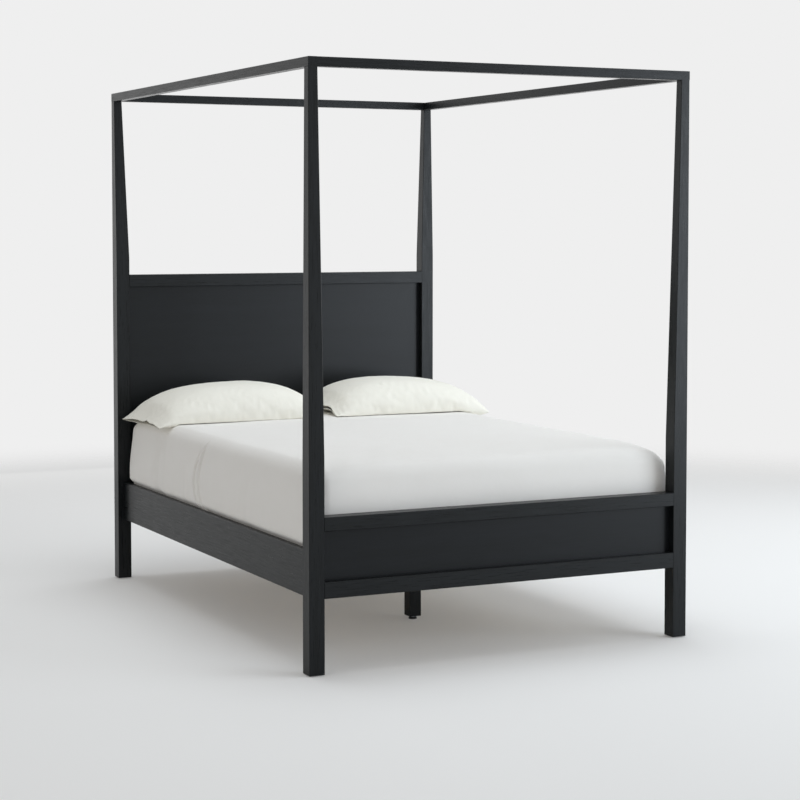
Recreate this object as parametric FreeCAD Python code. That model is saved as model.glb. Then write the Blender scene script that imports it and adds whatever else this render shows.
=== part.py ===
import FreeCAD, Part
import math
import os

# Four poster canopy bed for a 1400 x 2000 mm mattress, in millimetres.
# X runs from the left side (-) to the right side (+), Y from the foot (-) to the head (+),
# and Z up from the floor. The origin is on the floor under the middle of the bed.

vec = FreeCAD.Vector

# Mattress and bedding
mattress_width = 1400.0
mattress_length = 2000.0
mattress_height = 323.0
mattress_corner_radius = 70.0
mattress_edge_bevel = 28.0
mattress_side_clearance = 6.0
mattress_end_clearance = 6.0
mattress_drop = 41.0
sheet_thickness = 1.2
sheet_fit = 0.1
soft_gap = 0.3
pillow_length = 715.0
pillow_depth = 470.0
pillow_height = 143.0
pillow_seam_height = 46.0
pillow_edge_height = 4.0
pillow_end_share = 0.12
pillow_stations = (-1.0, -0.85, -0.5, 0.0, 0.5, 0.85, 1.0)
pillow_section_steps = 7
pillow_spacing = 16.0
pillow_wall_gap = 4.0
pillowcase_thickness = 1.2
pillowcase_fit = 2.0
pillowcase_hem = 24.0

# Posts
post_size = 57.0
post_top_size = 34.5
post_edge_bevel = 1.5
post_foot_chamfer = 1.0
foot_taper_start = 738.0
head_taper_start = 1380.0
glide_height = 3.0
glide_radius = 12.5
post_tenon_size = 18.0
post_tenon_height = 20.0

# Canopy
canopy_top = 2081.0
canopy_rail_height = 33.5
corner_plate_width = 20.0
corner_plate_arm = 90.0
corner_plate_thickness = 3.0
corner_plate_bevel = 4.0

# Headboard and footboard
board_bottom = 261.0
bottom_rail_height = 56.0
footboard_top = 538.0
footboard_rail_height = 48.0
headboard_top = 1308.0
headboard_rail_height = 52.0
panel_recess = 30.0
panel_thickness = 15.0
panel_tongue = 9.5
groove_depth = 10.5
tenon_thickness = 18.0
tenon_length = 30.0
tenon_shoulder = 12.0
rail_edge_bevel = 1.5

# Side rails and their hook-on fittings
side_rail_top = 416.0
side_rail_height = 160.0
side_rail_thickness = 25.0
side_rail_recess = 26.0
hook_plate_height = 140.0
hook_plate_width = 18.0
hook_plate_thickness = 3.0
hook_plate_bevel = 3.0
hook_thickness = 4.5
hook_spacing = 64.0
hook_neck_height = 14.0
hook_lip_drop = 10.0
hook_lip_depth = 4.5
hook_tip_bevel = 1.5
hook_slot_height = 26.0
hook_slot_width = 6.0
hook_clearance = 0.3
hook_pocket_margin = 1.5
hook_pocket_depth = 7.0

# Mattress support
slat_count = 13
slat_width = 80.0
slat_thickness = 18.0
slat_edge_bevel = 1.5
slat_end_clearance = 3.0
ledger_width = 28.0
ledger_height = 40.0
ledger_end_clearance = 2.0
tape_width = 30.0
tape_thickness = 1.0
tape_offset = 350.0
beam_width = 60.0
beam_height = 70.0
hanger_thickness = 3.0
hanger_plate_width = 124.0
hanger_plate_drop = 16.0
hanger_side_height = 46.0
hanger_reach = 45.0
hanger_corner_bevel = 6.0

# Centre legs and levelling feet
leg_size = 49.0
leg_offset = 315.0
leg_bottom = 13.0
leg_bolt_radius = 4.0
leg_bolt_length = 70.0
nut_flange_radius = 12.0
nut_flange_thickness = 1.5
nut_barrel_radius = 5.5
nut_barrel_length = 15.0
stem_radius = 4.0
stem_top = 50.0
stem_bore_depth = 52.0
stem_collar_radius = 7.5
stem_collar_height = 3.0
stem_pin_radius = 3.0
pad_radius = 16.0
pad_height = 7.0
pad_edge_bevel = 2.0
pad_floor = 3.2

# Fits
fit = 0.2
bolt_fit = 0.1
run_fit = 0.1
swivel_gap = 0.3

# Places that follow from the sizes above
rail_inner_x = mattress_width / 2 + mattress_side_clearance
rail_outer_x = rail_inner_x + side_rail_thickness
half_width = rail_outer_x + side_rail_recess
inner_y = mattress_length / 2 + mattress_end_clearance
half_length = inner_y + post_size
post_inner_x = half_width - post_size
post_top = canopy_top - canopy_rail_height
corner_x = half_width - post_top_size / 2
corner_y = half_length - post_top_size / 2
side_rail_bottom = side_rail_top - side_rail_height
side_rail_middle = side_rail_top - side_rail_height / 2
side_rail_x = (rail_inner_x + rail_outer_x) / 2
slat_top = side_rail_top - mattress_drop
slat_bottom = slat_top - slat_thickness
slat_gap = (2 * inner_y - slat_count * slat_width) / (slat_count + 1)
beam_bottom = slat_bottom - beam_height
mattress_bottom = slat_top + soft_gap
sheet_top = mattress_bottom + mattress_height + sheet_fit + sheet_thickness
pillow_base = sheet_top + soft_gap + pillowcase_fit + pillowcase_thickness
show_faces = {"foot": -half_length, "head": inner_y}
sides = {"left": -1, "right": 1}
ends = {"foot": -1, "head": 1}


# Basic solids

def span(sign, first, second):
    """Lower and upper limit of a stretch that lies on one side of the middle."""
    return sorted((sign * first, sign * second))


def block(x_span, y_span, z_span):
    size = [pair[1] - pair[0] for pair in (x_span, y_span, z_span)]
    return Part.makeBox(*size, vec(x_span[0], y_span[0], z_span[0]))


def point_on(axis, u, v, w):
    """Point at w along the axis, with u and v on the other two axes in X, Y, Z order."""
    return {"x": vec(w, u, v), "y": vec(u, w, v), "z": vec(u, v, w)}[axis]


def bevelled_outline(axis, u_span, v_span, w, bevel):
    """Rectangle with cut corners, in the plane across the axis at w."""
    u0, u1 = u_span
    v0, v1 = v_span
    corners = [
        (u0 + bevel, v0), (u1 - bevel, v0),
        (u1, v0 + bevel), (u1, v1 - bevel),
        (u1 - bevel, v1), (u0 + bevel, v1),
        (u0, v1 - bevel), (u0, v0 + bevel),
    ]
    points = [point_on(axis, u, v, w) for u, v in corners]
    return Part.makePolygon(points + points[:1])


def bar(axis, u_span, v_span, w_span, bevel):
    """Straight bar along the axis, with its four long edges eased."""
    outline = bevelled_outline(axis, u_span, v_span, w_span[0], bevel)
    return Part.Face(outline).extrude(point_on(axis, 0, 0, w_span[1] - w_span[0]))


def turned(profile, place):
    """Solid of revolution: (radius, height) points turned about a vertical axis at place."""
    points = [vec(radius, 0, height) for radius, height in profile]
    face = Part.Face(Part.makePolygon(points + points[:1]))
    solid = face.revolve(vec(0, 0, 0), vec(0, 0, 1), 360)
    solid.translate(place)
    return solid


# Posts

def post_outline(side, end, size, height):
    """Square section of a post. Its outer corner is the same at every height."""
    x_span = span(side, half_width - size, half_width)
    y_span = span(end, half_length - size, half_length)
    return bevelled_outline("z", x_span, y_span, height, post_edge_bevel)


def post_blank(side, end, taper_start):
    """The outer faces stay upright and the two inner faces lean out to the small top."""
    foot = Part.Face(post_outline(side, end, post_size, glide_height))
    straight = foot.extrude(vec(0, 0, taper_start - glide_height))
    knee = post_outline(side, end, post_size, taper_start)
    tip = post_outline(side, end, post_top_size, post_top)
    taper = Part.makeLoft([knee, tip], True, True)
    blank = straight.fuse([taper, post_tenon(side, end, 0)]).removeSplitter()
    rim = [edge for edge in blank.Edges if edge.BoundBox.ZMax < glide_height + fit]
    return blank.makeChamfer(post_foot_chamfer, rim)


def post_tenon(side, end, grow):
    """Stub tenon on the top of a post, which the canopy side rail drops over."""
    half = post_tenon_size / 2 + grow
    x_span = (side * corner_x - half, side * corner_x + half)
    y_span = (end * corner_y - half, end * corner_y + half)
    return block(x_span, y_span, (post_top, post_top + post_tenon_height + grow))


def tenon_span(show_face):
    middle = show_face + post_size / 2
    return (middle - tenon_thickness / 2, middle + tenon_thickness / 2)


def board_joints(side, show_face, rails):
    """Mortises for the tenons of both rails, and the groove for the panel, in one post."""
    low_y, high_y = tenon_span(show_face)
    depth = tenon_length + fit
    cuts = []
    for bottom, top in rails:
        cuts.append(block(
            span(side, post_inner_x, post_inner_x + depth),
            (low_y - fit, high_y + fit),
            (bottom + tenon_shoulder - fit, top - tenon_shoulder + fit)))
    groove_y = show_face + panel_recess
    cuts.append(block(
        span(side, post_inner_x, post_inner_x + groove_depth),
        (groove_y - fit, groove_y + panel_thickness + fit),
        (rails[0][0] + tenon_shoulder, rails[1][1] - tenon_shoulder)))
    return cuts


def fitting_plate(side, end, near, far, grow):
    """Upright plate of a bed fitting, with cut corners, between two distances from the middle."""
    middle = side * side_rail_x
    half = hook_plate_width / 2 + grow
    half_height = hook_plate_height / 2 + grow
    z_span = (side_rail_middle - half_height, side_rail_middle + half_height)
    return bar("y", (middle - half, middle + half), z_span, span(end, near, far), hook_plate_bevel)


def hook_bottoms():
    """Height at which the neck of each hook rests in its slot."""
    first = side_rail_middle - hook_spacing / 2 - hook_neck_height / 2
    return (first, first + hook_spacing)


def slot_plate_cuts(side, end):
    """Housing for the slotted plate, and the room behind it for the hooks."""
    cuts = [fitting_plate(side, end, inner_y, inner_y + hook_plate_thickness, fit)]
    half_slot = hook_slot_width / 2 + hook_pocket_margin
    back = inner_y + hook_plate_thickness
    for bottom in hook_bottoms():
        cuts.append(block(
            (side * side_rail_x - half_slot, side * side_rail_x + half_slot),
            span(end, back, back + hook_pocket_depth),
            (bottom - hook_lip_drop - hook_pocket_margin, bottom + hook_slot_height + hook_pocket_margin)))
    return cuts


def post(side, end, taper_start, show_face, rails):
    blank = post_blank(side, end, taper_start)
    return blank.cut(board_joints(side, show_face, rails) + slot_plate_cuts(side, end))


def post_glide(side, end):
    """Round plastic glide that the post stands on."""
    place = vec(side * (half_width - post_size / 2), end * (half_length - post_size / 2), 0)
    return Part.makeCylinder(glide_radius, glide_height, place)


# Headboard and footboard

def board_rail(show_face, bottom, top, groove_edge):
    """Cross rail with a tenon at each end and a groove for the panel in one edge."""
    y_span = (show_face, show_face + post_size)
    rail = bar("x", y_span, (bottom, top), (-post_inner_x, post_inner_x), rail_edge_bevel)
    reach = post_inner_x + tenon_length
    tenons = block((-reach, reach), tenon_span(show_face), (bottom + tenon_shoulder, top - tenon_shoulder))
    groove_y = show_face + panel_recess
    groove_floor = groove_edge + math.copysign(groove_depth, (bottom + top) / 2 - groove_edge)
    groove = block(
        (-post_inner_x, post_inner_x),
        (groove_y - fit, groove_y + panel_thickness + fit),
        sorted((groove_edge, groove_floor)))
    return rail.fuse(tenons).removeSplitter().cut(groove)


def board_panel(show_face, bottom, top):
    """Flat panel whose four edges stand in the grooves of the posts and rails."""
    reach = post_inner_x + panel_tongue
    front = show_face + panel_recess
    z_span = (bottom - panel_tongue, top + panel_tongue)
    return block((-reach, reach), (front, front + panel_thickness), z_span)


def board(end_name, rails):
    """Bottom rail, top rail and panel of the headboard or footboard."""
    show_face = show_faces[end_name]
    (low_bottom, low_top), (high_bottom, high_top) = rails
    return {
        "bottom_rail": board_rail(show_face, low_bottom, low_top, low_top),
        "top_rail": board_rail(show_face, high_bottom, high_top, high_bottom),
        "panel": board_panel(show_face, low_top, high_bottom),
    }


# Canopy

def canopy_side_rail(side):
    """Rail that runs over both posts of one side, with a mortise for each post's tenon."""
    x_span = span(side, half_width - post_top_size, half_width)
    rail = bar("y", x_span, (post_top, canopy_top), (-half_length, half_length), rail_edge_bevel)
    for end in ends.values():
        rail = rail.cut([post_tenon(side, end, fit), corner_plate(side, end, fit)])
    return rail


def canopy_cross_rail(end):
    """Rail that butts between the two side rails."""
    y_span = span(end, half_length - post_top_size, half_length)
    reach = half_width - post_top_size
    rail = bar("x", y_span, (post_top, canopy_top), (-reach, reach), rail_edge_bevel)
    return rail.cut([corner_plate(side, end, fit) for side in sides.values()])


def corner_plate(side, end, grow=0):
    """L-shaped plate, flush in the top of the rails, with its corner over the post."""
    half = corner_plate_width / 2 + grow
    x_arm = span(side, corner_x - corner_plate_arm - grow, corner_x + half)
    y_arm = span(end, corner_y - corner_plate_arm - grow, corner_y + half)
    x_width = (side * corner_x - half, side * corner_x + half)
    y_width = (end * corner_y - half, end * corner_y + half)
    z_span = (canopy_top - corner_plate_thickness, canopy_top)
    along_cross = bar("z", x_arm, y_width, z_span, corner_plate_bevel)
    along_side = bar("z", x_width, y_arm, z_span, corner_plate_bevel)
    return along_cross.fuse(along_side).removeSplitter()


# Side rails and bed fittings

def side_rail(side):
    x_span = span(side, rail_inner_x, rail_outer_x)
    z_span = (side_rail_bottom, side_rail_top)
    rail = bar("y", x_span, z_span, (-inner_y, inner_y), rail_edge_bevel)
    near = inner_y - hook_plate_thickness
    return rail.cut([fitting_plate(side, end, near, inner_y, fit) for end in ends.values()])


def hook(side, end, bottom):
    """Neck that lies in the slot, and a lip that hangs down behind the slotted plate."""
    neck_end = inner_y + hook_plate_thickness + hook_clearance
    tip = neck_end + hook_lip_depth
    top = bottom + hook_neck_height
    low = bottom - hook_lip_drop
    outline = [(inner_y, bottom), (neck_end, bottom), (neck_end, low), (tip - hook_tip_bevel, low)]
    outline += [(tip, low + hook_tip_bevel), (tip, top), (inner_y, top)]
    start = side * side_rail_x - hook_thickness / 2
    points = [vec(start, end * y, z) for y, z in outline]
    return Part.Face(Part.makePolygon(points + points[:1])).extrude(vec(hook_thickness, 0, 0))


def hook_plate(side, end):
    plate = fitting_plate(side, end, inner_y - hook_plate_thickness, inner_y, 0)
    return plate.fuse([hook(side, end, bottom) for bottom in hook_bottoms()]).removeSplitter()


def slot_plate(side, end):
    plate = fitting_plate(side, end, inner_y, inner_y + hook_plate_thickness, 0)
    middle = side * side_rail_x
    half = hook_slot_width / 2
    slots = []
    for bottom in hook_bottoms():
        slots.append(block(
            (middle - half, middle + half),
            span(end, inner_y, inner_y + hook_plate_thickness),
            (bottom, bottom + hook_slot_height)))
    return plate.cut(slots)


# Mattress support

def slat_y(index):
    return -inner_y + slat_gap + slat_width / 2 + index * (slat_width + slat_gap)


def ledger(side):
    """Strip along the inside of a side rail that carries the ends of the slats."""
    x_span = span(side, rail_inner_x - ledger_width, rail_inner_x)
    z_span = (slat_bottom - ledger_height, slat_bottom)
    reach = inner_y - ledger_end_clearance
    return bar("y", x_span, z_span, (-reach, reach), rail_edge_bevel)


def slat(index):
    reach = rail_inner_x - slat_end_clearance
    y_span = (slat_y(index) - slat_width / 2, slat_y(index) + slat_width / 2)
    return bar("x", y_span, (slat_bottom, slat_top), (-reach, reach), slat_edge_bevel)


def slat_tape(side):
    """Woven tape under the slats that keeps their spacing."""
    middle = side * tape_offset
    x_span = (middle - tape_width / 2, middle + tape_width / 2)
    y_span = (slat_y(0) - slat_width / 2, slat_y(slat_count - 1) + slat_width / 2)
    return block(x_span, y_span, (slat_bottom - tape_thickness, slat_bottom))


def centre_beam():
    reach = inner_y - hanger_thickness
    half = beam_width / 2
    beam = bar("y", (-half, half), (beam_bottom, slat_bottom), (-reach, reach), rail_edge_bevel)
    return beam.cut([leg_bolt(end, bolt_fit) for end in ends.values()])


def beam_hanger(end):
    """Steel saddle: a back plate screwed to the board, and a trough that holds the beam's end."""
    trough_half = beam_width / 2 + fit
    outer_half = trough_half + hanger_thickness
    floor_bottom = beam_bottom - hanger_thickness
    trough_top = floor_bottom + hanger_side_height
    half_plate = hanger_plate_width / 2
    z_span = (floor_bottom - hanger_plate_drop, trough_top)
    back_y = span(end, inner_y - hanger_thickness, inner_y)
    back = bar("y", (-half_plate, half_plate), z_span, back_y, hanger_corner_bevel)
    y_trough = span(end, inner_y - hanger_thickness - hanger_reach, inner_y - hanger_thickness)
    trough = block((-outer_half, outer_half), y_trough, (floor_bottom, trough_top))
    room = block((-trough_half, trough_half), y_trough, (beam_bottom, trough_top))
    return back.fuse(trough.cut(room)).removeSplitter()


def leg_bolt(end, grow=0):
    """Stud that is screwed half into the beam and half into the leg."""
    place = vec(0, end * leg_offset, beam_bottom - leg_bolt_length / 2 - grow)
    return Part.makeCylinder(leg_bolt_radius + grow, leg_bolt_length + 2 * grow, place)


def centre_leg(end):
    half = leg_size / 2
    middle = end * leg_offset
    leg = bar("z", (-half, half), (middle - half, middle + half), (leg_bottom, beam_bottom), post_edge_bevel)
    barrel_depth = nut_barrel_length + fit
    foot = vec(0, middle, leg_bottom)
    cuts = [
        leg_bolt(end, bolt_fit),
        Part.makeCylinder(nut_barrel_radius + bolt_fit, barrel_depth, foot),
        Part.makeCylinder(stem_radius + fit, stem_bore_depth, foot),
    ]
    return leg.cut(cuts)


# Levelling feet of the centre legs

def leveller_nut(end):
    """Flanged barrel nut in the bottom of a centre leg."""
    bore = stem_radius + run_fit
    flange_bottom = leg_bottom - nut_flange_thickness
    barrel_top = leg_bottom + nut_barrel_length
    profile = [(bore, flange_bottom), (nut_flange_radius, flange_bottom), (nut_flange_radius, leg_bottom)]
    profile += [(nut_barrel_radius, leg_bottom), (nut_barrel_radius, barrel_top), (bore, barrel_top)]
    return turned(profile, vec(0, end * leg_offset, 0))


def leveller_stem(end):
    """Screw stem with a hexagon collar and a plain pin that turns in the pad."""
    middle = vec(0, end * leg_offset, 0)
    collar_bottom = pad_height + swivel_gap
    collar_top = collar_bottom + stem_collar_height
    corners = []
    for step in range(7):
        reach = FreeCAD.Rotation(vec(0, 0, 1), 60 * step).multVec(vec(stem_collar_radius, 0, 0))
        corners.append(middle + reach + vec(0, 0, collar_bottom))
    collar = Part.Face(Part.makePolygon(corners)).extrude(vec(0, 0, stem_collar_height))
    screw = Part.makeCylinder(stem_radius, stem_top - collar_top, middle + vec(0, 0, collar_top))
    pin_bottom = pad_floor + swivel_gap
    pin = Part.makeCylinder(stem_pin_radius, collar_bottom - pin_bottom, middle + vec(0, 0, pin_bottom))
    return collar.fuse([screw, pin]).removeSplitter()


def leveller_pad(end):
    """Round plastic pad with a blind socket for the stem."""
    socket = stem_pin_radius + run_fit
    shoulder = pad_radius - pad_edge_bevel
    profile = [(0, 0), (pad_radius, 0), (pad_radius, pad_height - pad_edge_bevel), (shoulder, pad_height)]
    profile += [(socket, pad_height), (socket, pad_floor), (0, pad_floor)]
    return turned(profile, vec(0, end * leg_offset, 0))


# Bedding

def soft_block(grow, bottom, top):
    """Mattress form, grown by a distance, with round corners and a bevelled top edge."""
    half_x = mattress_width / 2 + grow
    half_y = mattress_length / 2 + grow
    form = block((-half_x, half_x), (-half_y, half_y), (bottom, top))
    uprights = [edge for edge in form.Edges if edge.BoundBox.ZLength > fit]
    form = form.makeFillet(mattress_corner_radius + grow, uprights)
    rim = [edge for edge in form.Edges if edge.BoundBox.ZMin > top - fit]
    return form.makeChamfer(mattress_edge_bevel, rim)


def mattress():
    return soft_block(0, mattress_bottom, mattress_bottom + mattress_height)


def fitted_sheet():
    """Cloth skin over the top and sides of the mattress, open underneath."""
    outer = soft_block(sheet_fit + sheet_thickness, mattress_bottom, sheet_top)
    inner = soft_block(sheet_fit, mattress_bottom - mattress_drop, sheet_top - sheet_thickness)
    return outer.cut(inner)


def faceted(rings):
    """Closed solid through rings of points, with flat triangles from each ring to the next."""
    outlines = [rings[0][::-1], rings[-1]]
    for near, far in zip(rings, rings[1:]):
        for index, point in enumerate(near):
            following = (index + 1) % len(near)
            outlines.append([point, near[following], far[following]])
            outlines.append([point, far[following], far[index]])
    faces = [Part.Face(Part.makePolygon(outline + outline[:1])) for outline in outlines]
    return Part.Solid(Part.Shell(faces))


def pillow_section(x, share, grow):
    """Lens across the pillow: half ellipses above and below the seam, scaled in height by share."""
    half = pillow_depth / 2 + grow
    middle = inner_y - pillow_wall_gap - pillowcase_fit - pillowcase_thickness - pillow_depth / 2
    seam = pillow_base + pillow_edge_height / 2 + pillow_seam_height * share
    edge = pillow_edge_height / 2 + grow
    points = []
    for facing, bulge in ((1, pillow_height - pillow_seam_height), (-1, pillow_seam_height)):
        for step in range(pillow_section_steps + 1):
            angle = math.pi * step / pillow_section_steps
            height = edge + bulge * share * math.sin(angle)
            points.append(vec(x, middle + facing * half * math.cos(angle), seam + facing * height))
    return points


def pillow_form(side, grow, hem):
    """Pillow along X, thick in the middle and thin at both ends, with an optional open hem at one."""
    half = pillow_length / 2
    inset = pillow_spacing / 2 + pillowcase_fit + pillowcase_thickness
    centre = side * (inset + half + pillowcase_hem / 2) + pillowcase_hem / 2
    rings = [pillow_section(centre - half - hem, pillow_end_share, grow)] if hem else []
    for station in pillow_stations:
        share = pillow_end_share + (1 - pillow_end_share) * math.sqrt(1 - station ** 2)
        rings.append(pillow_section(centre + station * (half + grow), share, grow))
    return faceted(rings)


def pillowcase(side):
    outer = pillow_form(side, pillowcase_fit + pillowcase_thickness, pillowcase_hem)
    inner = pillow_form(side, pillowcase_fit, pillowcase_hem + pillow_spacing)
    return outer.cut(inner)


# Export

def save(name, shape):
    shape.exportStep("parts/" + name + ".step")


def at_corners(build):
    """One solid at each corner of the bed, as a group."""
    return Part.makeCompound([build(side, end) for side in sides.values() for end in ends.values()])


def at_ends(build):
    return Part.makeCompound([build(end) for end in ends.values()])


def save_boards_and_posts():
    low_rail = (board_bottom, board_bottom + bottom_rail_height)
    plans = {
        "foot": (foot_taper_start, (footboard_top - footboard_rail_height, footboard_top)),
        "head": (head_taper_start, (headboard_top - headboard_rail_height, headboard_top)),
    }
    for end_name, (taper_start, top_rail) in plans.items():
        rails = (low_rail, top_rail)
        for piece, shape in board(end_name, rails).items():
            save(end_name + "board_" + piece, shape)
        for side_name, side in sides.items():
            shape = post(side, ends[end_name], taper_start, show_faces[end_name], rails)
            save("post_" + end_name + "_" + side_name, shape)
    save("post_glides", at_corners(post_glide))


def save_canopy():
    for side_name, side in sides.items():
        save("canopy_side_rail_" + side_name, canopy_side_rail(side))
    for end_name, end in ends.items():
        save("canopy_" + end_name + "_rail", canopy_cross_rail(end))
    save("canopy_corner_plates", at_corners(corner_plate))


def save_side_rails():
    for side_name, side in sides.items():
        save("side_rail_" + side_name, side_rail(side))
        save("slat_ledger_" + side_name, ledger(side))
    save("rail_hook_plates", at_corners(hook_plate))
    save("post_slot_plates", at_corners(slot_plate))


def save_support():
    for index in range(slat_count):
        save("slat_%02d" % (index + 1), slat(index))
    save("slat_tapes", Part.makeCompound([slat_tape(side) for side in sides.values()]))
    save("centre_beam", centre_beam())
    save("beam_hangers", at_ends(beam_hanger))
    save("centre_leg_bolts", at_ends(leg_bolt))
    save("leveller_nuts", at_ends(leveller_nut))
    for end_name, end in ends.items():
        save("centre_leg_" + end_name, centre_leg(end))
        save("leveller_stem_" + end_name, leveller_stem(end))
        save("leveller_pad_" + end_name, leveller_pad(end))


def save_bedding():
    save("mattress", mattress())
    save("fitted_sheet", fitted_sheet())
    for side_name, side in sides.items():
        save("pillow_" + side_name, pillow_form(side, 0, 0))
        save("pillowcase_" + side_name, pillowcase(side))


os.makedirs("parts", exist_ok=True)
save_boards_and_posts()
save_canopy()
save_side_rails()
save_support()
save_bedding()
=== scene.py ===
import math

import bpy
import numpy as np
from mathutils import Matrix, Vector


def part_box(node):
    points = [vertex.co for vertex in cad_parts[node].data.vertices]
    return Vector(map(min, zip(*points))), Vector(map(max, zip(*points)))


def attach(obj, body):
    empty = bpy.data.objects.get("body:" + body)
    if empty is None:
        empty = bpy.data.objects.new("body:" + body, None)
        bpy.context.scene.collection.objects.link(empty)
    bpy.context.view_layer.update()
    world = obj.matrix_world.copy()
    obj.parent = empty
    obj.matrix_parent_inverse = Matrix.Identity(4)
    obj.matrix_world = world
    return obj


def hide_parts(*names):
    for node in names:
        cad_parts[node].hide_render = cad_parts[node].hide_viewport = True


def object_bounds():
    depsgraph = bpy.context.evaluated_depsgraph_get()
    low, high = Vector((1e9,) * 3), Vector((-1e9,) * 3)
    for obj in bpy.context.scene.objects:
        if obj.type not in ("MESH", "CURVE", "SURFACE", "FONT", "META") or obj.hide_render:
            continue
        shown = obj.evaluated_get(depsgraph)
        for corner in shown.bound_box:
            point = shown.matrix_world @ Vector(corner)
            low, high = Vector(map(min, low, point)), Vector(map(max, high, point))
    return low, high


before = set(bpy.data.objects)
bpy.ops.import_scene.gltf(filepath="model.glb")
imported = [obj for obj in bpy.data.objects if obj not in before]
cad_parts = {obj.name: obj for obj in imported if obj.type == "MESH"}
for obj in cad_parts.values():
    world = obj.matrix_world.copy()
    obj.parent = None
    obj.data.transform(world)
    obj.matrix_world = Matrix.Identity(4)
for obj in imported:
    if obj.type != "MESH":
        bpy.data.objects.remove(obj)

# Four poster canopy bed: stained wood frame from the CAD model, with bedding made here.
# Metres, X to the bed's right, Y from foot to head, Z up from the floor.

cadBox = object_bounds()
scene = bpy.context.scene
rng = np.random.default_rng(7)


# Camera, floor and light

cameraPlan = dict(
    place=(-3.3665, -7.1239, 1.5229), yaw=-25.94, pitch=-2.94, lens=89.06, shiftY=-0.0923)
worldPlan = dict(background="#EFEFEF", diffuse=0.43)
# daylight from the right and above is cooler than the light filling from the left
lamps = {
    "topSoftbox": dict(
        place=(0.4, 0.4, 5.0), target=(0.0, 0.2, 0.5), size=(4.6, 4.6), power=115, colour="#F2F9FF"),
    "rightWindow": dict(
        place=(4.4, -0.6, 2.1), target=(0.0, -0.6, 0.9), size=(4.4, 2.4), power=43, colour="#EEF7FF"),
    "rightFront": dict(
        place=(4.5, -4.8, 1.5), target=(0.0, -1.0, 0.8), size=(3.2, 3.0), power=178, colour="#EBF5FF"),
    "backWall": dict(
        place=(1.4, 4.8, 1.9), target=(1.4, 0.0, 1.9), size=(7.4, 3.7), power=26, colour="#FFFFFF"),
    "leftFill": dict(
        place=(-5.5, -2.5, 2.2), target=(0.0, 0.0, 0.6), size=(3.0, 3.0), power=6, colour="#FFEBD2"),
}
# the last value is the share of the floor that the camera sees as a painted glow of the background colour, which
# lightens the bed's shadow on it
floorPlan = dict(colour="#F4F3F1", radius=9.0, fadeStart=3.5, fadeEnd=6.4, paintedLift=0.13)


def linear(hexText):
    # sRGB hex to linear RGBA
    channels = [int(hexText[i:i + 2], 16) / 255 for i in (1, 3, 5)]
    return tuple(c / 12.92 if c <= 0.04045 else ((c + 0.055) / 1.055) ** 2.4 for c in channels) + (1.0,)


def addNode(tree, kind, values=None, links=None, **settings):
    # values set input sockets, links join them to (node, output), settings are the node's own
    node = tree.nodes.new("ShaderNode" + kind)
    for name, value in settings.items():
        setattr(node, name, value)
    for socket, value in (values or {}).items():
        node.inputs[socket].default_value = value
    for socket, (other, output) in (links or {}).items():
        tree.links.new(other.outputs[output], node.inputs[socket])
    return node


def newMaterial(name):
    # empty material, its tree, and the node that gives coordinates
    material = bpy.data.materials.new(name)
    material.use_nodes = True
    tree = material.node_tree
    tree.nodes.clear()
    return material, tree, addNode(tree, "TexCoord")


def makeCamera():
    # seen from the left of the foot, at eye height
    data = bpy.data.cameras.new("camera")
    data.sensor_width = 36
    data.lens = cameraPlan["lens"]
    data.shift_y = cameraPlan["shiftY"]
    camera = bpy.data.objects.new("camera", data)
    camera.location = cameraPlan["place"]
    camera.rotation_euler = (math.radians(90 + cameraPlan["pitch"]), 0, math.radians(cameraPlan["yaw"]))
    scene.collection.objects.link(camera)
    scene.camera = camera


def makeLamp(name, plan):
    data = bpy.data.lights.new(name, "AREA")
    data.shape = "RECTANGLE"
    data.size, data.size_y = plan["size"]
    data.energy = plan["power"]
    data.color = linear(plan["colour"])[:3]
    lamp = bpy.data.objects.new(name, data)
    lamp.location = plan["place"]
    lamp.rotation_euler = (Vector(plan["target"]) - Vector(plan["place"])).to_track_quat("-Z", "Y").to_euler()
    lamp.visible_camera = False
    scene.collection.objects.link(lamp)


def makeWorld():
    # even soft light, with the pale background shown to the camera and in reflections
    world = bpy.data.worlds.new("studio")
    world.use_nodes = True
    scene.world = world
    tree = world.node_tree
    tree.nodes.clear()
    path = addNode(tree, "LightPath")
    seen = addNode(
        tree, "Math", links={0: (path, "Is Camera Ray"), 1: (path, "Is Glossy Ray")}, operation="MAXIMUM")
    seen = addNode(tree, "Math", links={0: (seen, 0), 1: (path, "Is Transmission Ray")}, operation="MAXIMUM")
    light = addNode(tree, "Background", {"Color": (1, 1, 1, 1), "Strength": worldPlan["diffuse"]})
    shown = addNode(tree, "Background", {"Color": linear(worldPlan["background"]), "Strength": 1.0})
    mix = addNode(tree, "MixShader", links={0: (seen, 0), 1: (light, 0), 2: (shown, 0)})
    addNode(tree, "OutputWorld", links={"Surface": (mix, 0)})


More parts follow.
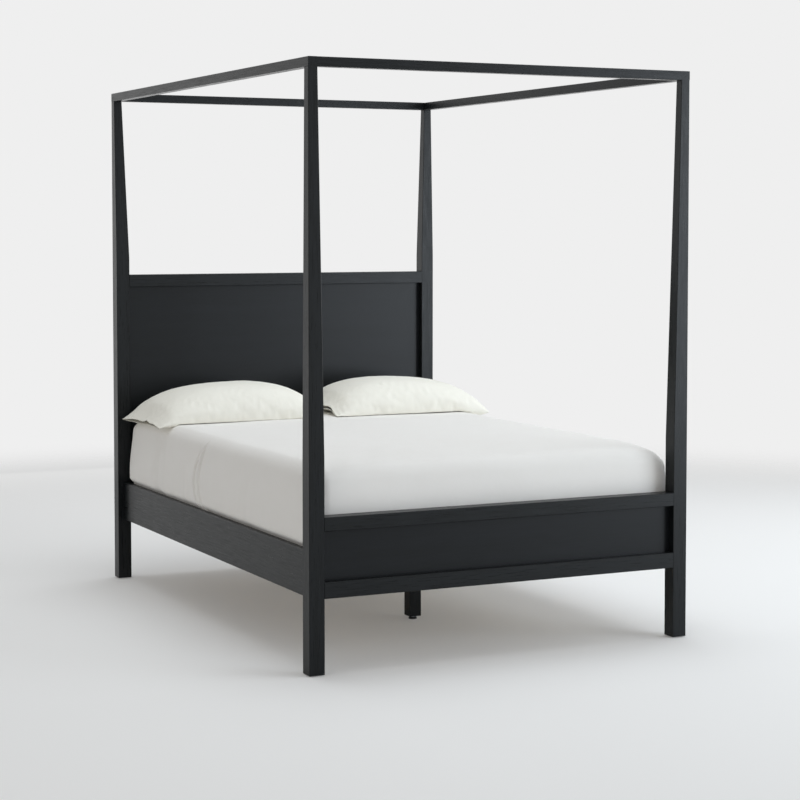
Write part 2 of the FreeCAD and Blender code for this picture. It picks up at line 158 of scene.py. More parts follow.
def makeFloor():
    # round sheet of matt studio paper that fades into the background; seen directly, it glows a little
    # with the background colour, a painted lift that lightens its shadow, and it lights the bed as plain paper
    material, tree, place = newMaterial("studioPaper")
    length = addNode(tree, "VectorMath", links={0: (place, "Object")}, operation="LENGTH")
    fade = addNode(
        tree, "MapRange", {"From Min": floorPlan["fadeStart"], "From Max": floorPlan["fadeEnd"]},
        {"Value": (length, "Value")}, interpolation_type="SMOOTHERSTEP")
    paper = addNode(tree, "BsdfDiffuse", {"Color": linear(floorPlan["colour"])})
    # the haze node is a glow of the background colour, seen by the camera only: painted light that lifts the
    # floor's shadow
    haze = addNode(tree, "Emission", {"Color": linear(worldPlan["background"])})
    path = addNode(tree, "LightPath")
    paintedLift = addNode(tree, "Math", {1: floorPlan["paintedLift"]}, {0: (path, "Is Camera Ray")}, operation="MULTIPLY")
    seen = addNode(tree, "MixShader", links={0: (paintedLift, 0), 1: (paper, 0), 2: (haze, 0)})
    clear = addNode(tree, "BsdfTransparent")
    mix = addNode(tree, "MixShader", links={0: (fade, 0), 1: (seen, 0), 2: (clear, 0)})
    addNode(tree, "OutputMaterial", links={"Surface": (mix, 0)})
    bpy.ops.mesh.primitive_circle_add(
        vertices=96, radius=floorPlan["radius"], fill_type="NGON", location=(0, 0, cadBox[0].z - 0.0004))
    floor = bpy.context.object
    floor.name = "floor"
    floor.data.materials.append(material)


scene.view_settings.view_transform = "Standard"
makeCamera()
makeWorld()
makeFloor()
for name, plan in lamps.items():
    makeLamp(name, plan)
print("stage ready")


# Materials

# sizes of the figure across and along the grain; fleck is how far the streaks, and not the
# pores, vary the sheen
wood = dict(
    dark="#0E1112", light="#16191B", roughness=(0.25, 0.41), specular=0.2,
    streak=0.004, streakLength=0.09, band=0.022, bandLength=0.8, pore=0.0012, poreLength=0.03,
    bump=0.12, fleck=0.7)
panelWood = dict(
    wood, dark="#101315", light="#14171A", band=0.05, bandLength=0.6, bump=0.05, fleck=0.4,
    roughness=(0.3, 0.36))
slatWood = dict(
    wood, dark="#B99A6C", light="#DCC69B", streak=0.003, streakLength=0.16, band=0.012, bandLength=0.7,
    bump=0.1, fleck=0.1, roughness=(0.5, 0.62), specular=0.5)


def grainNoise(tree, place, axis, width, length, detail):
    # noise drawn out along the grain: width across it and length along it, in metres
    scale = [1 / width] * 3
    scale[axis] = 1 / length
    stretch = addNode(tree, "Mapping", {"Scale": scale}, {"Vector": (place, "Object")})
    return addNode(
        tree, "TexNoise", {"Scale": 1.0, "Detail": detail, "Roughness": 0.55}, {"Vector": (stretch, 0)})


def woodMaterial(name, axis, plan):
    # straight-grained hardwood, stained and sealed with satin lacquer: fine streaks along the
    # grain, slow bands of tone between growth rings, and shallow pores that break the sheen.
    # Real streaks are under 1 mm wide, and are drawn at 4 mm so that they show.
    material, tree, place = newMaterial(name)
    streak = grainNoise(tree, place, axis, plan["streak"], plan["streakLength"], 3)
    band = grainNoise(tree, place, axis, plan["band"], plan["bandLength"], 2)
    pore = grainNoise(tree, place, axis, plan["pore"], plan["poreLength"], 2)
    tone = addNode(tree, "Mix", {0: 0.5}, {2: (streak, 0), 3: (band, 0)}, data_type="FLOAT")
    spread = addNode(tree, "MapRange", {"From Min": 0.36, "From Max": 0.64}, {"Value": (tone, 0)})
    colour = addNode(
        tree, "Mix", {6: linear(plan["dark"]), 7: linear(plan["light"])}, {0: (spread, 0)}, data_type="RGBA")
    low, high = plan["roughness"]
    mottle = addNode(tree, "Mix", {0: plan["fleck"]}, {2: (pore, 0), 3: (streak, 0)}, data_type="FLOAT")
    gloss = addNode(
        tree, "MapRange", {"From Min": 0.36, "From Max": 0.64, "To Min": low, "To Max": high},
        {"Value": (mottle, 0)})
    relief = addNode(tree, "Mix", {0: 0.35}, {2: (pore, 0), 3: (streak, 0)}, data_type="FLOAT")
    bump = addNode(tree, "Bump", {"Strength": plan["bump"], "Distance": 0.0008}, {"Height": (relief, 0)})
    shader = addNode(
        tree, "BsdfPrincipled", {"IOR": 1.5, "Specular IOR Level": plan["specular"]},
        {"Base Color": (colour, 2), "Roughness": (gloss, 0), "Normal": (bump, 0)})
    addNode(tree, "OutputMaterial", links={"Surface": (shader, 0)})
    return material


# crystals are 6 mm wide, and the haze has 90 cells to the metre
steel = dict(base="#B9BBBD", tint="#A9ACAF", roughness=(0.3, 0.44), spangle=0.006, haze=90.0)


def steelMaterial():
    # pressed steel with bright zinc plating: cool grey metal with faint crystal spangle
    material, tree, place = newMaterial("zincPlatedSteel")
    cells = addNode(tree, "TexVoronoi", {"Scale": 1 / steel["spangle"]}, {"Vector": (place, "Object")})
    haze = addNode(tree, "TexNoise", {"Scale": steel["haze"], "Detail": 4.0}, {"Vector": (place, "Object")})
    tone = addNode(
        tree, "Mix", {6: linear(steel["base"]), 7: linear(steel["tint"])}, {0: (cells, "Color")}, data_type="RGBA")
    low, high = steel["roughness"]
    gloss = addNode(tree, "MapRange", {"To Min": low, "To Max": high}, {"Value": (haze, 0)})
    shader = addNode(
        tree, "BsdfPrincipled", {"Metallic": 1.0}, {"Base Color": (tone, 2), "Roughness": (gloss, 0)})
    addNode(tree, "OutputMaterial", links={"Surface": (shader, 0)})
    return material


nylon = dict(colour="#1B1B1C", roughness=0.52, uneven=0.06, grit=0.0012)


def nylonMaterial():
    # moulded black nylon: matt, with the fine grit of a spark-eroded mould
    material, tree, place = newMaterial("mouldedNylon")
    grit = addNode(tree, "TexNoise", {"Scale": 1 / nylon["grit"], "Detail": 2.0}, {"Vector": (place, "Object")})
    bump = addNode(tree, "Bump", {"Strength": 0.25, "Distance": 0.0003}, {"Height": (grit, 0)})
    gloss = addNode(
        tree, "MapRange",
        {"To Min": nylon["roughness"] - nylon["uneven"], "To Max": nylon["roughness"] + nylon["uneven"]},
        {"Value": (grit, 0)})
    shader = addNode(
        tree, "BsdfPrincipled", {"Base Color": linear(nylon["colour"]), "IOR": 1.53},
        {"Roughness": (gloss, 0), "Normal": (bump, 0)})
    addNode(tree, "OutputMaterial", links={"Surface": (shader, 0)})
    return material


# warp is the colour on the raised parts of the weave and the creases, weft the colour in their hollows, which is
# painted shade
sheetCloth = dict(warp="#F2F0EC", weft="#EDEAE5", thread=0.0012, crease=0.09, relief=0.28, sheen=0.1)
caseCloth = dict(warp="#F4F2E8", weft="#EFECE1", thread=0.0013, crease=0.06, relief=0.32, sheen=0.12)
tickingCloth = dict(warp="#EFECE4", weft="#E2DED4", thread=0.0018, crease=0.12, relief=0.3, sheen=0.1)
tapeCloth = dict(warp="#E6E1D3", weft="#CFC8B6", thread=0.002, crease=0.1, relief=0.5, sheen=0.05)


def clothMaterial(name, plan, source="UV"):
    # plain woven cotton, soft and matt: warp and weft as two crossed bands, with painted shade in the hollows.
    # Real threads are 0.3 mm apart, and are drawn at about 1.2 mm so that they show close up.
    material, tree, place = newMaterial(name)
    scale = 0.31416 / plan["thread"]  # a wave texture's bands lie 0.31416 / scale apart
    warp, weft = (addNode(
        tree, "TexWave", {"Scale": scale, "Distortion": 0.6, "Detail Scale": 0.3}, {"Vector": (place, source)},
        bands_direction=direction) for direction in "XY")
    weave = addNode(tree, "Math", links={0: (warp, "Fac"), 1: (weft, "Fac")}, operation="MULTIPLY")
    crease = addNode(
        tree, "TexNoise", {"Scale": 1 / plan["crease"], "Detail": 5.0, "Roughness": 0.6},
        {"Vector": (place, source)})
    # painted shade: the colour goes from weft to warp with the weave and the crease noise, so it is darker where
    # their bumps are low
    tone = addNode(tree, "Mix", {0: 0.6}, {2: (weave, 0), 3: (crease, 0)}, data_type="FLOAT")
    colour = addNode(
        tree, "Mix", {6: linear(plan["weft"]), 7: linear(plan["warp"])}, {0: (tone, 0)}, data_type="RGBA")
    ripple = addNode(tree, "Bump", {"Strength": plan["relief"], "Distance": 0.004}, {"Height": (crease, 0)})
    bump = addNode(
        tree, "Bump", {"Strength": plan["relief"], "Distance": 0.0004},
        {"Height": (weave, 0), "Normal": (ripple, 0)})
    shader = addNode(
        tree, "BsdfPrincipled",
        {"Roughness": 0.85, "Specular IOR Level": 0.25, "Sheen Weight": plan["sheen"], "Sheen Roughness": 0.4},
        {"Base Color": (colour, 2), "Normal": (bump, 0)})
    addNode(tree, "OutputMaterial", links={"Surface": (shader, 0)})
    return material


woodAlong = [woodMaterial("charcoalHardwood" + name, axis, wood) for axis, name in enumerate("XYZ")]
panelVeneer = woodMaterial("charcoalVeneer", 0, panelWood)
slatPine = woodMaterial("sandedPine", 0, slatWood)
zincSteel = steelMaterial()
blackNylon = nylonMaterial()
sheetCotton = clothMaterial("percaleCotton", sheetCloth)
caseCotton = clothMaterial("softCotton", caseCloth)
tickingCotton = clothMaterial("cottonTicking", tickingCloth)
tapeCotton = clothMaterial("wovenTape", tapeCloth, "Object")


def materialFor(node):
    # each solid's material by its name; grain runs up the posts and legs, along the side rails,
    # and across the boards and cross rails
    if node.startswith(("slat_0", "slat_1")):
        return slatPine
    if node == "slat_tapes":
        return tapeCotton
    if node == "post_glides" or node.startswith("leveller_pad"):
        return blackNylon
    if node.startswith("leveller") or node.endswith(("plates", "hangers", "bolts")):
        return zincSteel
    if node.endswith("_panel"):
        return panelVeneer
    if node.startswith(("post_", "centre_leg")):
        return woodAlong[2]
    if node.startswith(("side_rail", "canopy_side", "centre_beam", "slat_ledger")):
        return woodAlong[1]
    return woodAlong[0]


for node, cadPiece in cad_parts.items():
    cadPiece.data.materials.clear()
    cadPiece.data.materials.append(materialFor(node))
print("materials ready")


# Meshes

def meshPiece(name, points, faces, material, uv=None):
    # smooth piece from an array of points and an array of faces, with UV given per point
    mesh = bpy.data.meshes.new(name)
    mesh.from_pydata(points.reshape(-1, 3), [], faces)
    if uv is not None:
        loops = np.zeros(len(mesh.loops), np.int32)
        mesh.loops.foreach_get("vertex_index", loops)
        perLoop = uv.reshape(-1, 2)[loops].astype(np.float32)
        mesh.uv_layers.new(name="cut").data.foreach_set("uv", perLoop.ravel())
    mesh.polygons.foreach_set("use_smooth", np.ones(len(mesh.polygons), bool))
    mesh.materials.append(material)
    mesh.update()
    piece = bpy.data.objects.new(name, mesh)
    scene.collection.objects.link(piece)
    return piece


def gridFaces(rows, columns, wrap=False):
    # quads between neighbouring rows of a grid of points, joined round if wrap
    first = np.arange(rows - 1)[:, None] * columns
    across = np.arange(columns if wrap else columns - 1)[None, :]
    following = (across + 1) % columns
    quads = np.stack(
        [first + across, first + following, first + columns + following, first + columns + across], axis=-1)
    return quads.reshape(-1, 4)


def smoothStep(low, high, value):
    # 0 at low and 1 at high, and t squared times (3 less 2t) between them
    t = np.clip((value - low) / (high - low), 0, 1)
    return t * t * (3 - 2 * t)


def waves(values, count, shortest, longest, seed):
    # sum of sines with seeded lengths and phases, about -1 to 1
    source = np.random.default_rng(seed)
    lengths = source.uniform(shortest, longest, count)
    phases = source.uniform(0, 2 * np.pi, count)
    return np.sin(values[..., None] * 2 * np.pi / lengths + phases).mean(axis=-1) * 1.6


# Mattress and fitted sheet

mattressLow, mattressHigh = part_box("mattress")
sheetLow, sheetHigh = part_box("fitted_sheet")
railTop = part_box("side_rail_left")[1].z
sheetPlan = dict(
    corner=0.053, edge=0.05, crown=0.004, bulge=0.003,
    # hem turned under: its reach, first step in, drop below the wall, and rows
    hemTuck=0.05, hemIn=0.006, hemUnder=0.002, hemRows=4,
    cornerDrop=0.018, cornerReach=0.11, thickness=0.0011, edgeSaving=0.03,
    # columns along each straight and corner, and rows up the wall, over the edge and on the top
    straights=(230, 90, 230, 100), arc=13, wall=31, over=9, top=18,
    # closer columns along the sides, for the pleats: place, width and gain
    dense=((0.085, 0.07, 7.0), (0.42, 0.2, 1.2)),
    # gathers and slow waves on the sides: height, and count, shortest, longest and seed of the waves
    gather=0.0022, gatherWaves=(9, 0.05, 0.16, 3), slack=0.0012, slackWaves=(7, 0.3, 0.9, 5),
    # waves on the top, the last of them toward the foot: height, shares of X and Y, and the waves
    topWaves=(
        (0.0016, 1, 0.4, (6, 0.35, 1.1, 11)), (0.0012, -0.3, 1, (6, 0.3, 0.9, 12)),
        (0.0007, 1, -0.5, (5, 0.1, 0.26, 13))),
    towardFoot=(0.1, -0.7),
    # how far the sides swell over the rails, between which heights above the rail the swell
    # starts, and where it eases off; how far the right corner at the foot swells beyond them
    overRail=0.018, swellStart=(0.001, 0.022), swellEase=(0.045, 0.04),
    cornerSwell=0.021, cornerAlong=0.16,
    # columns bend along the two long pleats: place, width and arch
    bend=(0.082, 0.2, 0.083),
    # pleats on the sides: side, place along it, arch, lean, width, depth, start and end down the drop
    pleats=(
        (-1, 0.062, 0.076, -0.04, 0.0052, 0.0110, 0.06, 1.2), (-1, 0.092, 0.090, -0.03, 0.0046, 0.0100, 0.2, 0.9),
        (-1, 0.300, 0.0, -0.03, 0.013, 0.0040, 0.45, 1.2), (-1, 0.510, 0.0, 0.0, 0.036, -0.0045, 0.1, 1.2),
        (-1, 0.590, 0.02, 0.0, 0.028, 0.0045, 0.1, 1.2), (-1, -0.420, 0.03, 0.02, 0.032, 0.0026, 0.35, 1.2),
        (1, 0.310, -0.05, 0.03, 0.022, 0.0070, 0.1, 1.2), (1, -0.360, 0.06, 0.0, 0.020, 0.0060, 0.3, 1.2),
        (1, -0.440, 0.03, 0.0, 0.040, -0.0040, 0.2, 1.2),
    ))
# the mattress keeps inside its sheet: at the sides, below the top and above the hem
mattressPlan = dict(
    sheetPlan, sideGap=0.009, topGap=0.004, hemGap=0.0035, under=0.03, bulge=0.0, crown=0.003,
    straights=(60, 40, 60, 40), dense=(), wall=12, top=12, arc=10)


def spacedOut(reach, count, dense):
    # count + 1 places from -reach to reach, closer together where dense says: the running total of
    # a weight, 1 plus a bell curve at each dense place, is cut into equal parts
    fine = np.linspace(-reach, reach, 2001)
    weight = np.ones(len(fine))
    for place, width, gain in dense:
        weight += gain * np.exp(-((fine - place) / width) ** 2)
    total = np.concatenate([[0], np.cumsum((weight[1:] + weight[:-1]) / 2)])
    return np.interp(np.linspace(0, total[-1], count + 1), total, fine)


def perimeter(halfX, halfY, corner, straights, arc, dense):
    # points and outward normals round a rectangle with round corners: right side, head, left side
    # and foot, each a straight and then a quarter circle, anticlockwise; both long sides have
    # their points at the same places, so that the halves of the top meet on the middle line
    points, normals = [], []
    for quarter in range(4):
        centre = np.array([(1, 1), (-1, 1), (-1, -1), (1, -1)][quarter]) * [halfX - corner, halfY - corner]
        before = np.array([(1, 0), (0, 1), (-1, 0), (0, -1)][quarter])
        along = np.array([(0, 1), (-1, 0), (0, -1), (1, 0)][quarter])
        reach = (halfY if quarter % 2 == 0 else halfX) - corner
        side = before * [halfX, halfY]
        places = spacedOut(reach, straights[quarter], dense if quarter % 2 == 0 else ())
        places = places[:-1] if quarter != 2 else -places[:0:-1]
        points.append(side + along * places[:, None])
        normals.append(np.repeat(before[None, :], len(places), axis=0))
        angle = (np.linspace(0, 1, arc, endpoint=False) * 0.5 + quarter * 0.5)[:, None] * np.pi
        around = np.concatenate([np.cos(angle), np.sin(angle)], axis=1)
        points.append(centre + around * corner)
        normals.append(around)
    return np.concatenate(points), np.concatenate(normals).astype(float)


def beddingShell(plan, halfX, halfY, bottom, top, tuck):
    # closed skin of a mattress as a grid: each row is the perimeter moved in by an inset at a
    # height, up the wall, over a quarter round edge, then straight in to the middle line
    edge, normal = perimeter(halfX, halfY, plan["corner"], plan["straights"], plan["arc"], plan["dense"])
    step = np.linalg.norm(np.roll(edge, -1, axis=0) - edge, axis=1)
    along = np.concatenate([[0], np.cumsum(step)[:-1]])
    tuckIn = np.linspace(tuck, plan["hemIn"], plan["hemRows"])
    wall = np.linspace(0, 1, plan["wall"])
    over = np.linspace(0, 1, plan["over"])[1:] * np.pi / 2
    wallTop = top - plan["edge"]
    bulge = plan["bulge"] * np.sin(wall * np.pi)
    inset = np.concatenate([tuckIn, -bulge, plan["edge"] * (1 - np.cos(over))])
    height = np.concatenate([
        np.full(plan["hemRows"], bottom - plan["hemUnder"]), bottom + (wallTop - bottom) * wall,
        wallTop + plan["edge"] * np.sin(over)])
    unrolled = np.concatenate([[0], np.cumsum(np.hypot(np.diff(inset), np.diff(height)))])
    unrolled = unrolled[-1] - unrolled
    rows = edge[None] - normal[None] * inset[:, None, None]
    rows = np.concatenate([rows, np.repeat(height[:, None, None], len(edge), axis=1)], axis=2)
    cut = edge[None] - normal[None] * plan["edge"] + normal[None] * unrolled[:, None, None]
    rim = rows[-1, :, :2]
    core = np.stack([np.zeros(len(rim)), np.clip(rim[:, 1], halfX - halfY, halfY - halfX)], axis=1)
    inwards = np.linspace(0, 1, plan["top"])[1:, None, None]
    middle = rim[None] * (1 - inwards) + core[None] * inwards
    share = np.abs(middle) / np.array([halfX - plan["edge"], halfY - plan["edge"]])
    rise = top + plan["crown"] * (1 - share[..., :1] ** 2) * (1 - share[..., 1:] ** 4)
    rows = np.concatenate([rows, np.concatenate([middle, rise], axis=2)])
    cut = np.concatenate([cut, middle])
    return rows, cut, normal, along


def closeGrid(piece, merge=0.00005):
    # joins points that meet on the middle line, and turns every face outwards
    bpy.context.view_layer.objects.active = piece
    piece.select_set(True)
    bpy.ops.object.mode_set(mode="EDIT")
    bpy.ops.mesh.select_all(action="SELECT")
    bpy.ops.mesh.remove_doubles(threshold=merge)
    bpy.ops.mesh.normals_make_consistent(inside=False)
    bpy.ops.object.mode_set(mode="OBJECT")
    piece.select_set(False)


def applyModifier(piece, kind, **settings):
    # adds one modifier with its settings, and applies it
    modifier = piece.modifiers.new(kind.lower(), kind)
    for name, value in settings.items():
        setattr(modifier, name, value)
    bpy.context.view_layer.objects.active = piece
    bpy.ops.object.modifier_apply(modifier=modifier.name)


def cornerDrop(rows, plan):
    # how far the sheet's elastic pulls each top corner down: a bell curve of the distance to it
    near = np.hypot(np.abs(rows[..., 0]) - sheetHigh.x, np.abs(rows[..., 1]) - sheetHigh.y)
    return plan["cornerDrop"] * np.exp(-(near / plan["cornerReach"]) ** 2)


def sheetRipples(rows, normal, along, plan):
    # soft folds of a fitted sheet, added along the outward normal: gathers that grow towards the
    # elastic hem and at the corners, sides that swell over the rails, long curved pleats with a
    # ridge beside each hollow, and on the top slow waves, less the drop at the corners
    bottom, top = sheetLow.z, sheetHigh.z
    height = rows[..., 2]
    down = smoothStep(top - 0.02, bottom, height)
    arc = np.broadcast_to(along[None], height.shape)
    corner = np.abs(normal[:, 0] * normal[:, 1])[None] * 2
    out = plan["gather"] * (0.35 + 1.3 * corner) * down ** 2 * waves(arc, *plan["gatherWaves"])
    out = out + plan["slack"] * waves(arc + 0.3 * height, *plan["slackWaves"]) * smoothStep(
        top + 0.001, top - 0.1, height)
    # above the side rails the filling swells over them, most just above the rail
    start, full = plan["swellStart"]
    above = smoothStep(railTop + start, railTop + full, height)
    sideways = normal[None, :, 0] ** 2
    below = smoothStep(top, top - 0.05, height)
    overLow, underTop = plan["swellEase"]
    out = out + plan["overRail"] * sideways * above * below * (
        1 - 0.8 * smoothStep(railTop + overLow, top - underTop, height))
    nearCorner = np.exp(-((rows[..., 1] - sheetLow.y) / plan["cornerAlong"]) ** 2) * (rows[..., 0] > 0)
    out = out + plan["cornerSwell"] * nearCorner * sideways * above * smoothStep(top, top - 0.07, height)
    fallen = (top - 0.02 - height) / (top - 0.02 - bottom)
    for side, place, arch, lean, width, depth, start, end in plan["pleats"]:
        line = place + arch * np.sin(np.pi * np.clip(fallen, 0, 1)) + lean * fallen
        offset = (rows[..., 1] - line) / width
        shape = np.exp(-offset ** 2) - 0.45 * np.exp(-((offset - 1.9) / 1.2) ** 2)
        span = smoothStep(start - 0.12, start + 0.12, fallen) * smoothStep(end + 0.2, end - 0.2, fallen)
        out = out - (side * normal[:, 0] > 0.9)[None] * depth * shape * span
    shift = np.concatenate([normal[None] * out[..., None], np.zeros(height.shape + (1,))], axis=2)
    over = smoothStep(0.6, 1.0, (height - bottom) / (top - bottom))
    first, second, third = (
        rise * waves(shareX * rows[..., 0] + shareY * rows[..., 1], *wave)
        for rise, shareX, shareY, wave in plan["topWaves"])
    swell = first + second + third * smoothStep(*plan["towardFoot"], rows[..., 1])
    shift[..., 2] = (swell + 0.003 - cornerDrop(rows, plan)) * over
    return rows + shift


def makeMattress():
    # mattress in ticking: the same closed skin as the sheet's, with its underside filled in flat
    plan = mattressPlan
    half = (mattressHigh - mattressLow) / 2
    rows, cut, _, _ = beddingShell(
        plan, half.x - plan["sideGap"], half.y - plan["sideGap"], mattressLow.z + plan["hemGap"],
        mattressHigh.z - plan["topGap"], plan["under"])
    share = (rows[..., 2] - mattressLow.z) / (half.z * 2)
    rows[..., 2] -= cornerDrop(rows, plan) * smoothStep(0.5, 1.0, share)
    mattress = meshPiece(
        "mattressBody", rows, gridFaces(len(rows), rows.shape[1], True), tickingCotton, cut)
    bpy.context.view_layer.objects.active = mattress
    bpy.ops.object.mode_set(mode="EDIT")
    bpy.ops.mesh.select_all(action="DESELECT")
    bpy.ops.mesh.select_non_manifold()
    bpy.ops.mesh.edge_face_add()
    bpy.ops.object.mode_set(mode="OBJECT")
    closeGrid(mattress)
    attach(mattress, "bedding")
    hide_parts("mattress")


def makeSheet():
    # percale sheet: the skin with its columns bent along the two long pleats, so that each pleat
    # follows them, then the folds, and a wall of cloth thickness
    half = (sheetHigh - sheetLow) / 2
    rows, cut, normal, along = beddingShell(
        sheetPlan, half.x, half.y, sheetLow.z, sheetHigh.z, sheetPlan["hemTuck"])
    place, width, arch = sheetPlan["bend"]
    fallen = np.clip((sheetHigh.z - 0.02 - rows[..., 2]) / (sheetHigh.z - 0.02 - sheetLow.z), 0, 1)
    near = np.exp(-((rows[..., 1] - place) / width) ** 2) * (normal[:, 0] < -0.9)
    bend = arch * np.sin(np.pi * fallen) * near
    rows[..., 1] += bend
    cut[..., 1] += bend
    rows = sheetRipples(rows, normal, along, sheetPlan)
    sheet = meshPiece("fittedSheet", rows, gridFaces(len(rows), rows.shape[1], True), sheetCotton, cut)
    closeGrid(sheet)
    applyModifier(sheet, "SOLIDIFY", thickness=sheetPlan["thickness"], offset=-1.0)
    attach(sheet, "bedding")
    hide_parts("fitted_sheet")
    drop = sheetHigh.z - sheetLow.z + sheetPlan["hemTuck"]
    width = half.x * 2 + 2 * drop - sheetPlan["edgeSaving"]


makeMattress()
makeSheet()
print("mattress and sheet ready")


# Pillows

pillowPlan = dict(
    # case laid flat, its points along and across, and how many of them are past the fill
    length=0.80, depth=0.53, along=81, across=54, flange=4,
    # start of the simulation: share of the flat size, height of the seams over the sheet, and how
    # far the two layers bow out
    shareLength=0.965, shareDepth=0.925, clear=0.006, seamHigh=0.02, bowUp=0.115, bowDown=0.019,
    volume=0.0365, firmness=40.0, vertexMass=0.012, frames=26, quality=7, damping=1.5,
    stretch=15, shear=3, bending=0.01, friction=12, touching=0.002, touchQuality=3,
    # afterwards: gap of the seams over the sheet, reach of their sinking, and edge of the flat top
    seamGap=0.0075, sink=0.075, topEdge=0.66,
    hemReach=0.022, hemWave=9, hemEvening=40, hemTopEdge=0.645,
    thickness=0.0009, inset=0.0055, fillEvening=8,
    crumple=0.0008, creases=7, creaseApart=(0.035, 0.085))
# droops are the slopes of the open end's two layers, in degrees below level
pillows = {
    "left": dict(centre=(-0.386, 0.745), turn=0.6, seed=21, upperDroop=8, lowerDroop=62),
    "right": dict(centre=(0.416, 0.752), turn=-0.8, seed=34, upperDroop=-24, lowerDroop=8),
}


def sleeveIndex(rows, columns):
    # numbers of the points of two grids that share their outer ring
    upper = np.arange(rows * columns).reshape(rows, columns)
    lower = upper.copy()
    lower[1:-1, 1:-1] = rows * columns + np.arange((rows - 2) * (columns - 2)).reshape(rows - 2, columns - 2)
    return upper, lower


def quadsOf(index):
    # one face for each cell of a grid of point numbers
    cells = [index[:-1, :-1], index[1:, :-1], index[1:, 1:], index[:-1, 1:]]
    return np.stack(cells, axis=-1).reshape(-1, 4)


def sleeveArrays(plan, spot):
    # cut size of the two layers laid flat, and the rounded lens that the simulation starts from:
    # half thickness is the product of two rounded falls towards the seams, and the sides pull in
    rows, columns = plan["along"], plan["across"]
    a = np.linspace(0, plan["length"], rows)[:, None] * np.ones(columns)
    b = np.linspace(0, plan["depth"], columns)[None, :] * np.ones((rows, 1))
    flange = plan["flange"] / (rows - 1) * plan["length"]
    u = np.clip((a - flange) / (plan["length"] - flange), 0, 1) * 2 - 1
    v = b / plan["depth"] * 2 - 1
    fall = ((1 - np.abs(u) ** 3) * (1 - np.abs(v) ** 2.6)) ** 0.6
    x = (a / plan["length"] - 0.5) * plan["length"] * plan["shareLength"]
    y = (b / plan["depth"] - 0.5) * plan["depth"] * plan["shareDepth"]
    turn = math.radians(spot["turn"])
    placeX = spot["centre"][0] + x * math.cos(turn) - y * math.sin(turn)
    placeY = spot["centre"][1] + x * math.sin(turn) + y * math.cos(turn)
    base = sheetHigh.z + plan["clear"]
    upper = np.stack([placeX, placeY, base + plan["seamHigh"] + plan["bowUp"] * fall], axis=-1)
    lower = np.stack([placeX, placeY, base + plan["seamHigh"] - plan["bowDown"] * fall], axis=-1)
    flat = np.stack([a, b, np.zeros_like(a)], axis=-1)
    return flat, upper, lower


def makeCollider():
    # coarse plain skin of the made bed, for the pillows to lie on
    half = (sheetHigh - sheetLow) / 2
    plan = dict(
        sheetPlan, overRail=0.0, cornerSwell=0.0, pleats=(), straights=(30, 22, 30, 22), dense=(),
        arc=6, wall=6, over=6, top=12)
    rows, _, normal, along = beddingShell(plan, half.x, half.y, sheetLow.z, sheetHigh.z, plan["hemTuck"])
    rows = sheetRipples(rows, normal, along, plan)
    shell = meshPiece("pillowRest", rows, gridFaces(len(rows), rows.shape[1], True), sheetCotton)
    closeGrid(shell)
    shell.modifiers.new("rest", "COLLISION")
    shell.collision.thickness_outer = pillowPlan["touching"]
    shell.collision.cloth_friction = pillowPlan["friction"]
    return shell


